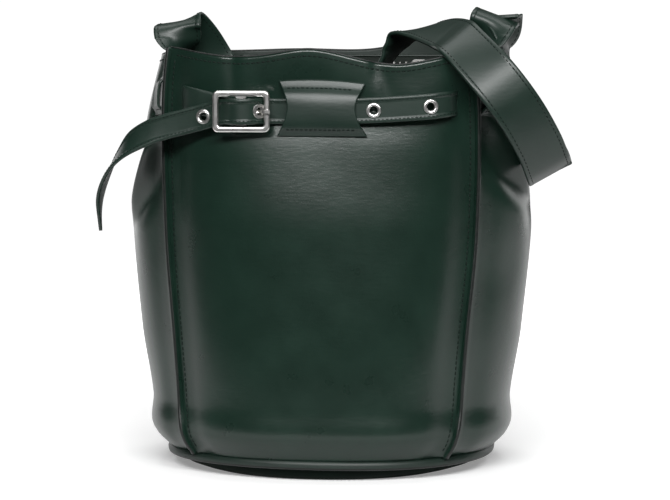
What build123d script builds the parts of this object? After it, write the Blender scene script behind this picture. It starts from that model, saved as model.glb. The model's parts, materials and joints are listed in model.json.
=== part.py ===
from build123d import *
import math
import os

# Bucket bag in smooth leather. Millimetres, +Z up, front of the bag toward -Y.
# The origin is the middle of the base, on the floor.

# ---- driving dimensions -------------------------------------------------
RIM_Z = 266.0
PANEL_FOOT = 12.6          # lower edge of the side panels, just above the base welt
LEATHER = 1.6
TRAY_SIDE = 5.0            # width of the base's sloping side, seen from above
FACING_FOOT = 222.0        # lower edge of the rim facing
BELT_WIDTH = 16.0
BELT_THICK = 2.2
STRAP_WIDTH = 31.0
STRAP_THICK = 2.8
SLOT_X = 85.0              # belt slots in the front panel
SLOT_Z = 236.5
BUCKLE_X = -45.6
BUCKLE_Y = -92.6
BUCKLE_Z = 231.0
BAR_R = 1.3                # centre bar of the buckle
EYE_CLEARANCE = 0.08
EYELET_X = (70.8, 36.3, 1.0, -34.9, -70.0)
TAIL_X = -76.0             # where the free end of the belt starts to flex
ZIP_Y = 66.0
ZIP_Z = 257.0
ZIP_HALF = 60.0
POCKET_DEPTH = 6.0
SLIDER_X = 52.0

# Horizontal sections: height, half width, half depth, squareness.
SECTIONS = (
    (0.0, 84.0, 86.0, 2.20),
    (4.0, 96.5, 88.5, 2.20),
    (8.0, 102.0, 90.0, 2.20),
    (12.0, 106.0, 90.6, 2.20),
    (20.0, 114.2, 91.6, 2.25),
    (28.0, 117.6, 92.0, 2.30),
    (45.0, 116.6, 91.0, 2.25),
    (90.0, 124.0, 90.0, 2.15),
    (177.0, 131.0, 88.0, 2.00),
    (225.0, 122.0, 87.5, 2.40),
    (266.0, 109.0, 86.0, 2.90),
)
# Half width of the front and back panels at each height.
SEAM = ((0.0, 74.0), (13.0, 79.0), (22.0, 84.0), (34.0, 86.8), (60.0, 88.7), (90.0, 91.2),
        (140.0, 95.8), (177.0, 97.4), (210.0, 98.0), (240.0, 97.4), (266.0, 95.0))
# Heights at which the outline is drawn, closer together where the base curves under.
LEVELS = (0.0, 2.0, 4.0, 8.0, 12.0, 17.0, 23.0, 30.0, 40.0, 55.0, 75.0, 97.0, 120.0, 145.0, 170.0,
          192.0, 214.0, 232.0, 250.0, 266.0)


# ---- helpers ------------------------------------------------------------
def interpolate(rows, z, column):
    """Straight-line value of one column of a table that is keyed by its first column."""
    if z <= rows[0][0]:
        return rows[0][column]
    for low, high in zip(rows, rows[1:]):
        if z <= high[0]:
            share = (z - low[0]) / (high[0] - low[0])
            return low[column] + share * (high[column] - low[column])
    return rows[-1][column]


def smooth(rows, z, column):
    """Cubic value of one column of a table, so that the wall has no kinks."""
    if z <= rows[0][0]:
        return rows[0][column]
    if z >= rows[-1][0]:
        return rows[-1][column]
    i = max(k for k in range(len(rows) - 1) if rows[k][0] <= z)
    below = rows[max(i - 1, 0)]
    low = rows[i]
    high = rows[i + 1]
    above = rows[min(i + 2, len(rows) - 1)]
    span = high[0] - low[0]
    start = (high[column] - below[column]) / (high[0] - below[0]) * span
    end = (above[column] - low[column]) / (above[0] - low[0]) * span
    t = (z - low[0]) / span
    return ((2 * t**3 - 3 * t**2 + 1) * low[column] + (t**3 - 2 * t**2 + t) * start
            + (3 * t**2 - 2 * t**3) * high[column] + (t**3 - t**2) * end)


def wall_point(angle, z, inset=0.0):
    """Point of the wall at a section angle, moved inward by the inset."""
    half_width = smooth(SECTIONS, z, 1) - inset
    half_depth = smooth(SECTIONS, z, 2) - inset
    power = 2.0 / smooth(SECTIONS, z, 3)
    c = math.cos(angle)
    s = math.sin(angle)
    return Vector(math.copysign(abs(c)**power, c) * half_width,
                  math.copysign(abs(s)**power, s) * half_depth, z)


def wall_y(x, z, inset=0.0):
    """Depth of the wall (as a positive number) at a given x."""
    half_width = smooth(SECTIONS, z, 1) - inset
    half_depth = smooth(SECTIONS, z, 2) - inset
    power = smooth(SECTIONS, z, 3)
    return half_depth * (1.0 - min(1.0, abs(x) / half_width)**power)**(1.0 / power)


def wall_x(y, z, inset=0.0):
    """Half width of the wall at a given y."""
    half_width = smooth(SECTIONS, z, 1) - inset
    half_depth = smooth(SECTIONS, z, 2) - inset
    power = smooth(SECTIONS, z, 3)
    return half_width * (1.0 - min(1.0, abs(y) / half_depth)**power)**(1.0 / power)


def section_outline(z, inset):
    """Closed run of points round the wall."""
    count = 28
    points = []
    for k in range(count):
        points.append(wall_point(2 * math.pi * k / count, z, inset))
    return [(p.X, p.Y) for p in points]


CORES = {}


def core(inset):
    """Solid filling of the bag's outline, moved inward by the inset."""
    if inset not in CORES:
        levels = []
        for z in LEVELS:
            with BuildSketch(Plane.XY.offset(z)) as level:
                with BuildLine():
                    Spline(*section_outline(z, inset), periodic=True)
                make_face()
            levels.append(level.sketch)
        with BuildPart() as filling:
            loft(levels)
        CORES[inset] = filling.part
    return CORES[inset]


def keep_slab(z_low, z_high):
    """Trim to the space between two heights."""
    with Locations((0, 0, (z_low + z_high) / 2)):
        Box(400, 400, z_high - z_low, mode=Mode.INTERSECT)


def add_shell(z_low, z_high, outer, inner):
    """Wall ring between two insets."""
    add(core(outer))
    add(core(inner), mode=Mode.SUBTRACT)
    keep_slab(z_low, z_high)


def panel_outline():
    """Closed front view of the front panel, from seam to seam."""
    right = [(interpolate(SEAM, z, 1), z) for z, half in SEAM]
    left = [(-x, z) for x, z in reversed(right)]
    return right + left


def catmull(rows, steps):
    """Smooth run of rows of numbers through the given rows."""
    out = []
    last = len(rows) - 1
    for i in range(last):
        quad = (rows[max(i - 1, 0)], rows[i], rows[i + 1], rows[min(i + 2, last)])
        for k in range(steps):
            t = k / steps
            row = []
            for a, b, c, d in zip(*quad):
                row.append(0.5 * (2 * b + (c - a) * t + (2 * a - 5 * b + 4 * c - d) * t**2
                                  + (3 * b - a - 3 * c + d) * t**3))
            out.append(tuple(row))
    out.append(tuple(rows[-1]))
    return out


def add_band(rows, width, thick, steps=3):
    """Flat band through rows of (x, y, z, across x, across y, across z)."""
    run = catmull(rows, steps)
    stations = []
    for k, row in enumerate(run):
        here = Vector(*row[:3])
        before = Vector(*run[max(k - 1, 0)][:3])
        after = Vector(*run[min(k + 1, len(run) - 1)][:3])
        along = (after - before).normalized()
        across = Vector(*row[3:])
        across = (across - along * across.dot(along)).normalized()
        with BuildSketch(Plane(origin=here, x_dir=across, z_dir=along)) as station:
            Rectangle(width, thick)
        stations.append(station.sketch)
    loft(stations, ruled=True)


def strip_outline(points, thick):
    """Closed plan view of a strap that follows the points on edge."""
    near = []
    far = []
    for k, point in enumerate(points):
        x0, y0 = points[max(k - 1, 0)]
        x1, y1 = points[min(k + 1, len(points) - 1)]
        length = math.hypot(x1 - x0, y1 - y0)
        nx = -(y1 - y0) / length * thick / 2
        ny = (x1 - x0) / length * thick / 2
        near.append((point[0] + nx, point[1] + ny))
        far.append((point[0] - nx, point[1] - ny))
    return near, far


def add_strip(points, thick, z_low, z_high):
    """Upright strap: plan outline raised between two heights."""
    near, far = strip_outline(points, thick)
    with BuildSketch(Plane.XY.offset(z_low)) as plan:
        with BuildLine():
            Spline(*near)
            Spline(*far)
            Line(near[0], far[0])
            Line(near[-1], far[-1])
        make_face()
    extrude(plan.sketch, amount=z_high - z_low)


def keep_front_band(middle, width):
    """Trim an upright strap to a band that follows a front-view centre line."""
    upper = [(x, z + width / 2) for x, z in middle]
    lower = [(x, z - width / 2) for x, z in middle]
    with BuildSketch(Plane.XZ) as front:
        with BuildLine():
            Spline(*upper)
            Spline(*lower)
            Line(upper[0], lower[0])
            Line(upper[-1], lower[-1])
        make_face()
    extrude(front.sketch, amount=150, both=True, mode=Mode.INTERSECT)


# ---- body of the bag ----------------------------------------------------
with BuildPart() as leather_wall:
    add_shell(PANEL_FOOT, RIM_Z, 0.0, LEATHER)

# The front rim dips to the right of the belt loop, where the shoulder strap weighs on it.
RIM_DIP = ((10.0, 267.0), (28.0, 264.6), (50.0, 260.8), (72.0, 260.4), (88.0, 262.8), (104.0, 267.0))
with BuildPart() as rim_dip:
    with BuildSketch(Plane.XZ):
        with BuildLine():
            Spline(*RIM_DIP)
            Line(RIM_DIP[-1], (104.0, 280.0))
            Line((104.0, 280.0), (10.0, 280.0))
            Line((10.0, 280.0), RIM_DIP[0])
        make_face()
    extrude(amount=150)

with BuildPart() as between_seams:
    with BuildSketch(Plane.XZ):
        with BuildLine():
            Polyline(*panel_outline(), close=True)
        make_face()
    extrude(amount=150, both=True)

with BuildPart() as front_panel:
    add(leather_wall.part)
    add(between_seams.part, mode=Mode.INTERSECT)
    with Locations((0, -150, 150)):
        Box(400, 300, 400, mode=Mode.INTERSECT)
    add(rim_dip.part, mode=Mode.SUBTRACT)
    for side in (-1, 1):
        with Locations((side * SLOT_X, -70, SLOT_Z + 0.5)):
            Box(6.0, 30, 21, mode=Mode.SUBTRACT)
front_panel.part.label = "front_panel"

with BuildPart() as back_panel:
    add(leather_wall.part)
    add(between_seams.part, mode=Mode.INTERSECT)
    with Locations((0, 150, 150)):
        Box(400, 300, 400, mode=Mode.INTERSECT)
back_panel.part.label = "back_panel"

with BuildPart() as left_gusset:
    add(leather_wall.part)
    add(between_seams.part, mode=Mode.SUBTRACT)
    with Locations((-100, 0, 150)):
        Box(200, 300, 400, mode=Mode.INTERSECT)
left_gusset.part.label = "left_gusset"

with BuildPart() as right_gusset:
    add(leather_wall.part)
    add(between_seams.part, mode=Mode.SUBTRACT)
    with Locations((100, 0, 150)):
        Box(200, 300, 400, mode=Mode.INTERSECT)
right_gusset.part.label = "right_gusset"

# The base is a shallow leather tray whose side curves under to the floor.
with BuildPart() as tray_inside:
    add(core(TRAY_SIDE))
    keep_slab(LEATHER, 12.0)

with BuildPart() as base_panel:
    add(core(0.0))
    keep_slab(0.0, 7.4)
    add(tray_inside.part, mode=Mode.SUBTRACT)
base_panel.part.label = "base_panel"

# Both edges of leather are turned outward here, sewn together and rolled.
with BuildPart() as base_welt:
    with BuildSketch(Plane.XY.offset(7.5)):
        with BuildLine():
            Spline(*section_outline(10.0, -3.4), periodic=True)
        make_face()
    extrude(amount=5.0)
    fillet(base_welt.edges(), 1.8)
    with BuildSketch(Plane.XY.offset(7.0)):
        with BuildLine():
            Spline(*section_outline(10.0, -1.0), periodic=True)
        make_face()
    extrude(amount=6.0, mode=Mode.SUBTRACT)
base_welt.part.label = "base_welt"

with BuildPart() as base_board:
    with BuildSketch(Plane.XY.offset(1.8)):
        with BuildLine():
            Spline(*section_outline(1.8, TRAY_SIDE + 0.5), periodic=True)
        make_face()
    extrude(amount=2.2)
base_board.part.label = "base_board"

with BuildPart() as lining_base:
    with BuildSketch(Plane.XY.offset(4.2)):
        with BuildLine():
            Spline(*section_outline(4.2, TRAY_SIDE + 0.5), periodic=True)
        make_face()
    extrude(amount=0.8)
lining_base.part.label = "lining_base"

with BuildPart() as lining_wall:
    add_shell(7.6, FACING_FOOT - 0.2, LEATHER + 0.3, LEATHER + 1.1)
lining_wall.part.label = "lining_wall"

with BuildPart() as rim_facing:
    add_shell(FACING_FOOT, RIM_Z, LEATHER + 0.1, LEATHER + 1.3)
    add(rim_dip.part, mode=Mode.SUBTRACT)
    for side in (-1, 1):
        with Locations((side * SLOT_X, -70, SLOT_Z + 0.5)):
            Box(6.0, 30, 21, mode=Mode.SUBTRACT)
rim_facing.part.label = "rim_facing"


# Raised side seams: the two panel edges stand outward together.
def add_fin(side, face):
    rows = []
    top = RIM_Z - 2.2 if side > 0 > face else RIM_Z
    for z in (PANEL_FOOT + 0.6, 17, 22, 28, 34, 45, 60, 90, 115, 140, 160, 177, 195, 210, 225, 240, top):
        x = interpolate(SEAM, z, 1)
        y = wall_y(x, z)
        step = 0.5
        slope = (wall_y(x + step, z) - wall_y(x - step, z)) / (2 * step)
        outward = Vector(-slope, 1.0, 0).normalized()
        middle = Vector(x, y, z) + outward * 2.2
        rows.append((side * middle.X, face * middle.Y, z, side * outward.X, face * outward.Y, 0.0))
    add_band(rows, 3.2, 2.6, steps=1)


with BuildPart() as seam_fin_front_left:
    add_fin(-1, -1)
seam_fin_front_left.part.label = "seam_fin_front_left"

with BuildPart() as seam_fin_front_right:
    add_fin(1, -1)
seam_fin_front_right.part.label = "seam_fin_front_right"

with BuildPart() as seam_fin_back_left:
    add_fin(-1, 1)
seam_fin_back_left.part.label = "seam_fin_back_left"

with BuildPart() as seam_fin_back_right:
    add_fin(1, 1)
seam_fin_back_right.part.label = "seam_fin_back_right"

# ---- belt ---------------------------------------------------------------
# Plan of the belt: out of the right slot, across the front, over the buckle's centre bar.
SLOT_Y = -wall_y(SLOT_X, SLOT_Z, 1.0)
BELT_PLAN = (
    (85.2, SLOT_Y), (84.8, SLOT_Y - 3.6), (82.0, -76.4), (76.5, -80.4), (70.8, -82.8),
    (54.0, -86.8), (36.3, -89.2), (18.0, -90.2), (1.0, -90.4), (-12.0, -89.6), (-23.0, -88.1),
    (-29.2, -88.0), (-32.2, -89.3), (-34.9, -91.6), (-40.0, -95.7), (-45.6, -97.2),
    (-51.0, -95.8), (-56.2, -91.8), (-59.2, -89.4), (-62.5, -88.3), (-66.0, -87.1),
    (-70.0, -86.0), (-75.6, -84.7),
)
BELT_RISE = ((95.0, 236.5), (85.0, 236.0), (70.8, 234.2), (36.3, 232.0), (1.0, 231.2),
             (-34.9, 231.2), (-57.0, 230.7), (-70.0, 227.6), (-80.0, 224.4))
BUCKLE_STRAP_PLAN = ((-85.2, SLOT_Y), (-84.9, SLOT_Y - 4.0), (-81.0, -76.6), (-75.0, -80.4),
                     (-68.0, -82.8), (-61.5, -85.0), (-56.0, -87.6), (-50.5, -90.8),
                     (-47.4, -92.0))
BUCKLE_STRAP_RISE = ((-95.0, 239.6), (-85.0, 238.6), (-70.0, 235.6), (-55.0, 231.6), (-40.0, 231.0))


def belt_frame(x):
    """Point, direction and outward face of the belt at a given x."""
    for (x0, y0), (x1, y1) in zip(BELT_PLAN[1:], BELT_PLAN[2:]):
        if x1 <= x <= x0:
            share = (x0 - x) / (x0 - x1)
            i = BELT_PLAN.index((x0, y0))
            before = BELT_PLAN[i - 1] if share < 0.5 else (x0, y0)
            after = (x1, y1) if share < 0.5 else BELT_PLAN[i + 2]
            along = Vector(after[0] - before[0], after[1] - before[1], 0).normalized()
            point = Vector(x, y0 + share * (y1 - y0), 0)
            break
    rows = tuple(reversed(BELT_RISE))
    point = Vector(point.X, point.Y, smooth(rows, x, 1))
    return point, along, Vector(-along.Y, along.X, 0)


def eyelet_plane(x):
    point, along, outward = belt_frame(x)
    return Plane(origin=point, x_dir=along, z_dir=outward)


with BuildPart() as belt_strap:
    add_strip(BELT_PLAN, BELT_THICK, 200, 260)
    keep_front_band(BELT_RISE, BELT_WIDTH)
    for eyelet_x in EYELET_X:
        with BuildSketch(eyelet_plane(eyelet_x)):
            Circle(2.95)
        extrude(amount=3, both=True, mode=Mode.SUBTRACT)
belt_strap.part.label = "belt_strap"

# Short strap folded round the centre bar, with a slot for the tongue.
with BuildPart() as buckle_strap:
    add_strip(BUCKLE_STRAP_PLAN, 2.6, 200, 260)
    with BuildSketch(Plane.XY.offset(200)):
        with Locations((BUCKLE_X, BUCKLE_Y)):
            Circle(2.75)
    extrude(amount=60)
    with BuildSketch(Plane.XY.offset(200)):
        with Locations((BUCKLE_X, BUCKLE_Y)):
            Circle(BAR_R + EYE_CLEARANCE)
    extrude(amount=60, mode=Mode.SUBTRACT)
    keep_front_band(BUCKLE_STRAP_RISE, 15.6)
    with Locations((BUCKLE_X + 1.5, BUCKLE_Y, BUCKLE_Z)):
        Box(10.0, 12.0, 4.4, mode=Mode.SUBTRACT)
buckle_strap.part.label = "buckle_strap"

# Eyelets: a domed flange and a barrel; a flat washer closes each one at the back.
with BuildPart() as eyelets:
    for eyelet_x in EYELET_X:
        face = eyelet_plane(eyelet_x)
        with BuildSketch(face.offset(BELT_THICK / 2 + 0.05)):
            Circle(4.8)
            Circle(2.5, mode=Mode.SUBTRACT)
        extrude(amount=0.65, taper=30)
        with BuildSketch(face.offset(-BELT_THICK / 2 - 0.35)):
            Circle(2.85)
            Circle(2.5, mode=Mode.SUBTRACT)
        extrude(amount=BELT_THICK + 0.5)
eyelets.part.label = "eyelets"

with BuildPart() as eyelet_washers:
    for eyelet_x in EYELET_X:
        with BuildSketch(eyelet_plane(eyelet_x).offset(-BELT_THICK / 2 - 0.05)):
            Circle(4.3)
            Circle(2.9, mode=Mode.SUBTRACT)
        extrude(amount=-0.4)
eyelet_washers.part.label = "eyelet_washers"


def add_backing(side, x, y, z, wide, deep, high):
    """Patch on the inner face of the wall."""
    add_shell(z - high / 2, z + high / 2, 3.2, 4.6)
    with Locations((side * x, y, z)):
        Box(wide, deep, high + 2, mode=Mode.INTERSECT)


# Reinforcing patches that hold the two belt ends inside the wall.
with BuildPart() as belt_anchor_left:
    add_backing(-1, SLOT_X, -70, SLOT_Z, 26, 60, 26)
belt_anchor_left.part.label = "belt_anchor_left"

with BuildPart() as belt_anchor_right:
    add_backing(1, SLOT_X, -70, SLOT_Z, 26, 60, 26)
belt_anchor_right.part.label = "belt_anchor_right"

# Belt loop in the middle of the front: sewn above and below, arched over the belt.
PATCH_X = 4.0
PATCH_TOP = 249.0
PATCH_FOOT = 215.6
PATCH_SIDE = ((PATCH_TOP, -87.7), (245.5, -89.6), (241.8, -92.4), (237.0, -93.5), (231.0, -93.7),
              (225.0, -93.5), (221.0, -92.6), (218.4, -90.6), (PATCH_FOOT, -89.0))
with BuildPart() as patch_loop:
    near, far = strip_outline(PATCH_SIDE, 1.8)
    with BuildSketch(Plane.YZ.offset(PATCH_X - 35)):
        with BuildLine():
            Spline(*[(y, z) for z, y in near])
            Spline(*[(y, z) for z, y in far])
            Line((near[0][1], near[0][0]), (far[0][1], far[0][0]))
            Line((near[-1][1], near[-1][0]), (far[-1][1], far[-1][0]))
        make_face()
    extrude(amount=70)
    with BuildSketch(Plane.XZ):
        with BuildLine():
            Line((PATCH_X - 26.8, PATCH_TOP + 1), (PATCH_X + 26.8, PATCH_TOP + 1))
            ThreePointArc((PATCH_X + 26.8, PATCH_TOP + 1), (PATCH_X + 21.2, 233),
                          (PATCH_X + 27.8, PATCH_FOOT - 1))
            Line((PATCH_X + 27.8, PATCH_FOOT - 1), (PATCH_X - 27.8, PATCH_FOOT - 1))
            ThreePointArc((PATCH_X - 27.8, PATCH_FOOT - 1), (PATCH_X - 21.2, 233),
                          (PATCH_X - 26.8, PATCH_TOP + 1))
        make_face()
    extrude(amount=150, mode=Mode.INTERSECT)
patch_loop.part.label = "patch_loop"


# Keeper loops for the belt's end, one on each gusset beside the front seam.
def add_keeper(side):
    y = -43.0
    z = 238.0
    low = Vector(side * wall_x(y, z - 11), y, z - 11)
    high = Vector(side * wall_x(y, z + 11), y, z + 11)
    up = (high - low).normalized()
    around = Vector(side * (wall_x(y - 2, z) - wall_x(y + 2, z)), -4, 0).normalized()
    outward = around.cross(up) * -side
    if outward.X * side < 0:
        outward = outward * -1
    foot = (low + high) * 0.5 + outward * 0.5
    cut = Plane(origin=foot - around * 5.5, x_dir=up, z_dir=around)
    rise = math.copysign(3.3, cut.y_dir.dot(outward))
    with BuildSketch(cut) as profile:
        with Locations((0, rise)):
            RectangleRounded(25.0, 6.4, 1.6)
            Rectangle(21.4, 4.6, mode=Mode.SUBTRACT)
    extrude(profile.sketch, amount=11.0)


with BuildPart() as left_keeper:
    add_keeper(-1)
left_keeper.part.label = "left_keeper"

with BuildPart() as right_keeper:
    add_keeper(1)
right_keeper.part.label = "right_keeper"

# ---- buckle -------------------------------------------------------------
with BuildPart() as buckle_frame:
    with BuildSketch(Plane.XZ.offset(-BUCKLE_Y - 1.7)):
        with Locations((BUCKLE_X, BUCKLE_Z)):
            RectangleRounded(35.6, 25.8, 3.4)
            RectangleRounded(28.4, 18.4, 1.4, mode=Mode.SUBTRACT)
    extrude(amount=3.4)
    rims = buckle_frame.edges().filter_by(lambda edge: abs(edge.center().Y - BUCKLE_Y) > 1.6)
    fillet(rims, 1.3)
    for side in (-1, 1):
        with BuildSketch(Plane.XZ.offset(-BUCKLE_Y - 1.3)):
            with Locations((BUCKLE_X, BUCKLE_Z + side * 9.4)):
                RectangleRounded(6.6, 2.4, 1.1)
        extrude(amount=2.6)
    with BuildSketch(Plane.XY.offset(BUCKLE_Z - 11)):
        with Locations((BUCKLE_X, BUCKLE_Y)):
            Circle(BAR_R)
    extrude(amount=22)
buckle_frame.part.label = "buckle_frame"

# Tongue: an eye on the centre bar, bent to pass through an eyelet and lie on the frame.
TONGUE_PLAN = ((-43.6, -92.6), (-41.0, -91.9), (-38.2, -91.1), (-35.7, -91.0), (-33.4, -92.6),
               (-32.0, -94.8), (-29.8, -95.4), (-27.4, -95.3))
with BuildPart() as buckle_tongue:
    add_strip(TONGUE_PLAN, 1.5, BUCKLE_Z - 1.05, BUCKLE_Z + 1.05)
    with BuildSketch(Plane.XY.offset(BUCKLE_Z - 1.05)):
        with Locations((BUCKLE_X, BUCKLE_Y)):
            Circle(2.55)
    extrude(amount=2.1)
    with BuildSketch(Plane.XY.offset(BUCKLE_Z - 1.05)):
        with Locations((BUCKLE_X, BUCKLE_Y)):
            Circle(BAR_R + EYE_CLEARANCE)
    extrude(amount=2.1, mode=Mode.SUBTRACT)
buckle_tongue.part.label = "buckle_tongue"

# Free end of the belt: it leaves the buckle, turns back and droops to a point.
TAIL_ROWS = (
    (TAIL_X - 2.8, -84.0, 224.6, 0.0, 0.0, 1.0),
    (-92.0, -82.0, 221.8, 0.05, 0.06, 1.0),
    (-106.0, -79.5, 217.6, 0.05, 0.20, 1.0),
    (-119.0, -75.5, 210.0, 0.15, 0.45, 1.0),
    (-129.5, -69.5, 199.5, 0.25, 0.90, 0.80),
    (-137.0, -62.5, 187.5, 0.25, 1.30, 0.50),
    (-141.5, -57.0, 176.0, 0.10, 1.60, 0.30),
    (-143.0, -53.5, 165.0, -0.20, 1.80, 0.20),
    (-142.8, -51.5, 154.0, -0.30, 1.80, 0.15),
)
with BuildPart() as belt_tail:
    add_band(TAIL_ROWS, BELT_WIDTH, BELT_THICK, steps=2)
belt_tail.part.label = "belt_tail"

# ---- shoulder strap -----------------------------------------------------
# Rows of the band: centre of the band, then the direction across it.
# Both ends are sewn to the inner faces of the gussets.
END_INSET = 6.8
END_HEIGHTS = (238.0, 245.0, 252.0, 259.0)
END_ROWS = tuple((wall_x(0, z) - END_INSET, 0.0, z, 0.0, 1.0, 0.0) for z in END_HEIGHTS)
LEFT_ROWS = tuple((-x, y, z, ax, ay, az) for x, y, z, ax, ay, az in END_ROWS) + (
    (-102.0, 0.0, 265.5, 0.10, 0.99, 0.0),
    (-101.2, -0.2, 271.0, 0.50, 0.86, 0.0),
    (-100.8, -0.4, 277.5, 0.90, 0.42, 0.10),
    (-101.4, 0.5, 284.0, 1.0, 0.13, 0.24),
    (-99.5, 8.5, 285.0, 1.0, 0.10, 0.19),
    (-91.1, 16.5, 274.0, 0.88, 0.16, 0.17),
    (-82.5, 22.5, 258.8, 0.90, 0.16, 0.30),
    (-73.5, 24.0, 243.0, 0.80, -0.30, 0.30),
    (-59.0, 22.0, 231.0, 0.45, -0.85, 0.20),
    (-38.0, 16.0, 224.0, 0.12, -1.0, 0.05),
    (-12.0, 10.0, 222.5, 0.0, -1.0, 0.0),
    (12.0, 6.0, 230.0, 0.0, -1.0, 0.0),
    (28.0, 4.0, 247.0, 0.0, -1.0, 0.0),
    (38.5, 2.0, 265.0, 0.0, -1.0, 0.0),
    (48.3, -1.5, 278.6, -0.06, -0.97, -0.08),
    (63.2, -22.0, 281.0, -0.39, -0.77, -0.35),
    (79.2, -47.8, 278.8, -0.58, -0.64, -0.55),
)
LOOP_ROWS = (
    (82.6, -53.5, 277.2, -0.61, -0.62, -0.56),
    (89.3, -66.0, 273.4, -0.66, -0.55, -0.60),
    (106.2, -79.0, 256.4, -0.70, -0.35, -0.65),
    (119.0, -80.0, 240.8, -0.74, -0.29, -0.63),
    (129.2, -73.0, 225.2, -0.75, -0.23, -0.60),
    (140.3, -61.0, 206.6, -0.77, -0.19, -0.52),
    (146.0, -47.0, 192.5, -0.85, -0.12, -0.48),
    (147.5, -36.0, 189.5, -0.90, 0.0, -0.50),
    (145.0, -22.0, 201.0, -0.90, -0.25, -0.45),
    (137.5, -9.0, 221.0, -0.70, -0.65, -0.30),
    (129.5, 0.0, 240.0, -0.40, -1.0, -0.20),
    (123.6, 4.0, 255.0, -0.15, -1.0, -0.05),
)
RIGHT_ROWS = tuple((x, y, z, -ax, ay, az) for x, y, z, ax, ay, az in END_ROWS) + (
    (102.0, 0.0, 265.5, -0.10, 0.99, 0.0),
    (102.6, -0.4, 271.0, -0.42, 0.90, 0.0),
    (103.8, -0.8, 278.5, -0.80, 0.58, 0.12),
    (105.0, 0.0, 286.5, -0.95, 0.13, 0.34),
    (107.5, 8.0, 290.5, -1.0, 0.0, 0.33),
    (112.0, 13.5, 286.0, -1.0, -0.20, 0.25),
    (119.0, 11.0, 272.5, -0.50, -0.90, 0.05),
    (122.2, 6.8, 262.0, -0.20, -1.0, -0.05),
)
with BuildPart() as shoulder_strap:
    add_band(LEFT_ROWS, STRAP_WIDTH, STRAP_THICK)
shoulder_strap.part.label = "shoulder_strap"

with BuildPart() as strap_loop:
    add_band(LOOP_ROWS, STRAP_WIDTH, STRAP_THICK)
strap_loop.part.label = "strap_loop"

with BuildPart() as strap_right_end:
    add_band(RIGHT_ROWS, STRAP_WIDTH, STRAP_THICK)
strap_right_end.part.label = "strap_right_end"

# Patches inside the wall behind the sewn ends of the shoulder strap.
with BuildPart() as strap_backing_left:
    add_backing(-1, 115, 0, 246, 60, 38, 24)
strap_backing_left.part.label = "strap_backing_left"

with BuildPart() as strap_backing_right:
    add_backing(1, 115, 0, 246, 60, 38, 24)
strap_backing_right.part.label = "strap_backing_right"

# ---- hanging pocket with a zip, inside at the back ----------------------
# The ledge fills the space between the straight zip and the curved wall.
with BuildPart() as pocket_ledge:
    add(core(3.2))
    keep_slab(262.4, 263.8)
    with Locations((0, ZIP_Y - 0.6 + 50, 263)):
        Box(2 * ZIP_HALF + 20, 100, 10, mode=Mode.INTERSECT)
pocket_ledge.part.label = "pocket_ledge"

with BuildPart() as pocket_front:
    with Locations((0, ZIP_Y, (160 + 250.8) / 2)):
        Box(2 * ZIP_HALF + 12, 0.8, 250.8 - 160)
pocket_front.part.label = "pocket_front"

with BuildPart() as pocket_back:
    with Locations((0, ZIP_Y + POCKET_DEPTH, (160 + 262.2) / 2)):
        Box(2 * ZIP_HALF + 12, 0.8, 262.2 - 160)
    with Locations((0, ZIP_Y + POCKET_DEPTH / 2, 159.4)):
        Box(2 * ZIP_HALF + 12, POCKET_DEPTH + 0.8, 1.0)
pocket_back.part.label = "pocket_back"

with BuildPart() as zip_tapes:
    for low, high in ((251.0, 255.9), (258.1, 262.2)):
        with Locations((0, ZIP_Y, (low + high) / 2)):
            Box(2 * ZIP_HALF + 12, 0.8, high - low)
zip_tapes.part.label = "zip_tapes"

with BuildPart() as zip_teeth:
    for k in range(57):
        tooth_x = -ZIP_HALF + 1.0 + 2.0 * k
        rise = 1.3 if k % 2 else -1.3
        with Locations((tooth_x, ZIP_Y, ZIP_Z + rise)):
            Box(1.1, 1.6, 1.6)
zip_teeth.part.label = "zip_teeth"

with BuildPart() as zip_stops:
    for side in (-1, 1):
        with Locations((side * (ZIP_HALF + 2.0), ZIP_Y, ZIP_Z)):
            Box(2.0, 2.0, 4.2)
zip_stops.part.label = "zip_stops"

# Slider: two plates joined by a post that runs between the two rows of teeth, and a bridge for the puller.
with BuildPart() as zip_slider:
    for face in (-1, 1):
        with BuildSketch(Plane.XZ.offset(-ZIP_Y - face * 1.75)):
            with Locations((SLIDER_X, ZIP_Z)):
                RectangleRounded(9.0, 7.4, 1.6)
        extrude(amount=0.4, both=True)
    with Locations((SLIDER_X + 3.5, ZIP_Y, ZIP_Z)):
        Box(1.4, 3.2, 0.6)
    with BuildSketch(Plane.XY.offset(ZIP_Z - 0.9)):
        with Locations((SLIDER_X, ZIP_Y - 2.0)):
            Rectangle(6.4, 3.6, align=(Align.CENTER, Align.MAX))
            Rectangle(4.2, 2.5, align=(Align.CENTER, Align.MAX), mode=Mode.SUBTRACT)
    extrude(amount=1.8)
zip_slider.part.label = "zip_slider"

# The puller's end bar lies under the bridge; its window clears the bridge's leg.
PULLER_Y = ZIP_Y - 3.6
with BuildPart() as zip_puller:
    with BuildSketch(Plane.XZ.offset(-PULLER_Y - 0.5)):
        with Locations((SLIDER_X + 9.6, ZIP_Z)):
            RectangleRounded(20.8, 5.2, 0.75)
        with Locations((SLIDER_X + 2.6, ZIP_Z)):
            Rectangle(3.6, 2.6, mode=Mode.SUBTRACT)
        with Locations((SLIDER_X + 16.6, ZIP_Z)):
            RectangleRounded(4.6, 2.2, 0.6, mode=Mode.SUBTRACT)
    extrude(amount=1.0)
zip_puller.part.label = "zip_puller"

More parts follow.
